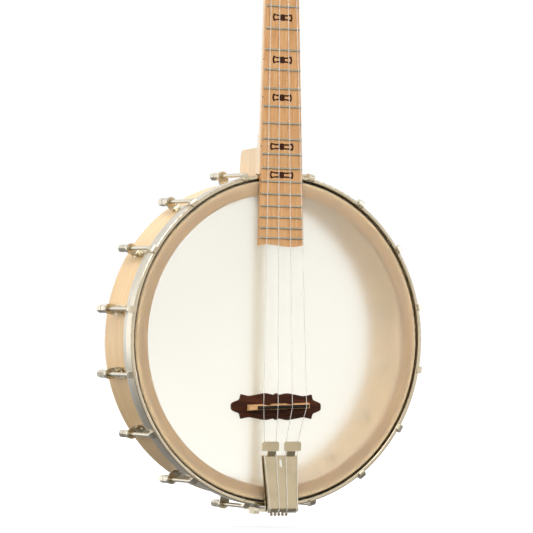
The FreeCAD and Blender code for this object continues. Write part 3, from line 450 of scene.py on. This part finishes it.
def skin():
    """Frosted translucent head: shows the rim it touches and blurs what lies further behind."""
    tree = Nodes("skin")
    place = tree.place()
    fibre = tree.noise(tree.stretch(place, (220.0, 220.0, 260.0)), 1.0, 4.0, 0.6)
    cloud = tree.noise(place, 9.0, 3.0, 0.5)
    colour = tree.ramp(cloud, [(0.3, (0.855, 0.842, 0.778)), (0.7, (0.877, 0.864, 0.803))])
    rough = tree.span(fibre, 0.3, 0.7, 0.48, 0.60)
    normal = tree.bump(fibre, 0.00003, 0.35)
    return tree.surface(colour, rough, normal, Transmission_Weight=0.87, IOR=1.15)


def nylon():
    """Clear nylon string."""
    tree = Nodes("nylon")
    grain = tree.noise(tree.place(), 400.0, 2.0)
    colour = tree.ramp(grain, [(0.3, (0.86, 0.86, 0.84)), (0.7, (0.95, 0.95, 0.93))])
    rough = tree.span(grain, 0.3, 0.7, 0.06, 0.12)
    return tree.surface(colour, rough, Transmission_Weight=0.55, IOR=1.5)


def bone():
    """Polished bone with faint pores."""
    tree = Nodes("bone")
    place = tree.place()
    grain = tree.noise(tree.stretch(place, (500.0, 1500.0, 1500.0)), 1.0, 3.0)
    colour = tree.ramp(grain, [(0.25, (0.74, 0.68, 0.53)), (0.6, (0.86, 0.82, 0.70))])
    normal = tree.bump(grain, 0.00002, 0.4)
    return tree.surface(colour, 0.28, normal, Subsurface_Weight=0.15, Subsurface_Scale=0.001)


def pearl():
    """Swirled pearl-like button plastic."""
    tree = Nodes("pearl")
    place = tree.place()
    swirl = tree.noise(place, 110.0, 4.0, 0.6, 2.5)
    colour = tree.ramp(swirl, [
        (0.25, (0.70, 0.66, 0.56)), (0.5, (0.88, 0.85, 0.76)), (0.75, (0.95, 0.94, 0.90)),
    ])
    rough = tree.span(swirl, 0.3, 0.7, 0.14, 0.26)
    return tree.surface(colour, rough, Coat_Weight=0.6, Coat_Roughness=0.08)


def dot_plastic():
    """Black dot marker."""
    tree = Nodes("dot_plastic")
    grain = tree.noise(tree.place(), 700.0, 3.0)
    colour = tree.ramp(grain, [(0.3, (0.012, 0.011, 0.010)), (0.7, (0.03, 0.028, 0.026))])
    return tree.surface(colour, tree.span(grain, 0.3, 0.7, 0.35, 0.5))


def paint_nodes():
    """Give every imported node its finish, and return the finishes by material slot."""
    finishes = {
        "nickel": plated("nickel", (0.76, 0.70, 0.57), 0.14),
        "satin_nickel": plated(
            "satin_nickel", (0.70, 0.62, 0.46), 0.28, (2600.0, 900.0, 60.0), 0.6,
        ),
        "fret_wire": plated("fret_wire", (0.55, 0.54, 0.46), 0.26, (60.0, 2500.0, 2500.0), 0.6),
        "steel": plated("steel", (0.58, 0.58, 0.58), 0.30, (300.0, 2500.0, 2500.0), 0.5),
        "aluminium": plated("aluminium", (0.72, 0.69, 0.62), 0.36, (900.0, 200.0, 900.0), 0.3),
        "brass": plated("brass", (0.78, 0.58, 0.26), 0.28, (1500.0, 400.0, 1500.0), 0.6),
        "rosewood": rosewood(swap=False),
        "ebony": ebony(),
        "inlay": inlay_wood(),
        "skin": skin(),
        "bone": bone(),
        "nylon": nylon(),
        "pearl": pearl(),
        "dot": dot_plastic(),
        "maple": neck_maple(),
        "board_maple": board_maple(),
    }
    special = {
        "rim": rim_maple(),
        "bridge_body": bridge_maple(),
        "bridge_plate": rosewood(swap=True),
    }
    for part in frame["record"]["subparts"]:
        node = frame["nodes"][part["node"]]
        finish = special.get(part["node"], finishes[part["material_slot"]])
        node.data.materials.clear()
        node.data.materials.append(finish)
    return finishes


# ---- pieces that only the eye needs --------------------------------------

def tube(name, points, radius, material, cyclic=False):
    """Round tube along a smooth line through points."""
    data = bpy.data.curves.new(name, "CURVE")
    data.dimensions = "3D"
    data.bevel_depth = radius
    data.bevel_resolution = 4
    data.use_fill_caps = True
    data.resolution_u = 4
    line = data.splines.new("NURBS")
    line.points.add(len(points) - 1)
    for spot, point in zip(line.points, points):
        spot.co = (*point, 1.0)
    line.order_u = 4
    line.use_endpoint_u = not cyclic
    line.use_cyclic_u = cyclic
    data.materials.append(material)
    piece = bpy.data.objects.new(name, data)
    bpy.context.scene.collection.objects.link(piece)
    return piece


def make_windings(material):
    """Turns of string round each post, from where the string arrives to the post's hole."""
    steps = int(WINDING_TURNS * STEPS_PER_TURN)
    for joint in frame["joints"]:
        if not joint["child"].startswith("post_"):
            continue
        number = joint["child"][-1]
        centre, front = Vector(joint["pos_m"]), Vector(joint["axis"]).normalized()
        inward = Vector((-math.copysign(1.0, centre.x), 0.0, 0.0))
        up = Vector((0.0, -front.z, front.y))
        up = up if up.z > 0 else -up
        points = []
        for i in range(steps + 1):
            angle = 2 * math.pi * i / STEPS_PER_TURN
            share = i / steps
            reach = POST_RADIUS + 1.05 * STRING_RADIUS + STRING_RADIUS * max(0.0, 1 - i / 6)
            level = WINDING_START + share * WINDING_TURNS * WINDING_PITCH
            outward = inward * math.cos(angle) + up * math.sin(angle)
            points.append(centre + front * level + outward * reach)
        hole = centre + front * POST_HOLE_HEIGHT
        last = (points[-1] - hole).normalized()
        points.append(hole + last * 2.6 * MM)
        points.append(hole + last * 0.5 * MM)
        piece = tube("winding_" + number, points, STRING_RADIUS, material)
        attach(piece, joint["child"])


def pin_places():
    """Centre of each string pin's ball, left to right."""
    low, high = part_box("string_pins")
    y = (low.y + high.y) / 2
    pitch = (high.x - low.x - 2 * PIN_BALL) / (PIN_COUNT - 1)
    return [Vector((low.x + PIN_BALL + pitch * i, y, low.z + PIN_BALL)) for i in range(PIN_COUNT)]


def make_string_loops(material):
    """Loop of each string round its pin, between the ball and the plate."""
    pins = pin_places()
    for number, index in enumerate(PINS_WITH_STRINGS, 1):
        centre = pins[index] + Vector((0.0, 0.0, LOOP_ABOVE_BALL))
        ring = []
        for i in range(LOOP_POINTS):
            angle = 2 * math.pi * i / LOOP_POINTS
            way = Vector((math.sin(angle), math.cos(angle), 0.06 * math.sin(2 * angle)))
            ring.append(centre + way * LOOP_RADIUS)
        piece = tube("string_loop_%d" % number, ring, STRING_RADIUS, material, cyclic=True)
        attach(piece, "root")


make_camera()
make_floor()
make_lights()
make_world()
finishes = paint_nodes()
make_windings(finishes["nylon"])
make_string_loops(finishes["nylon"])
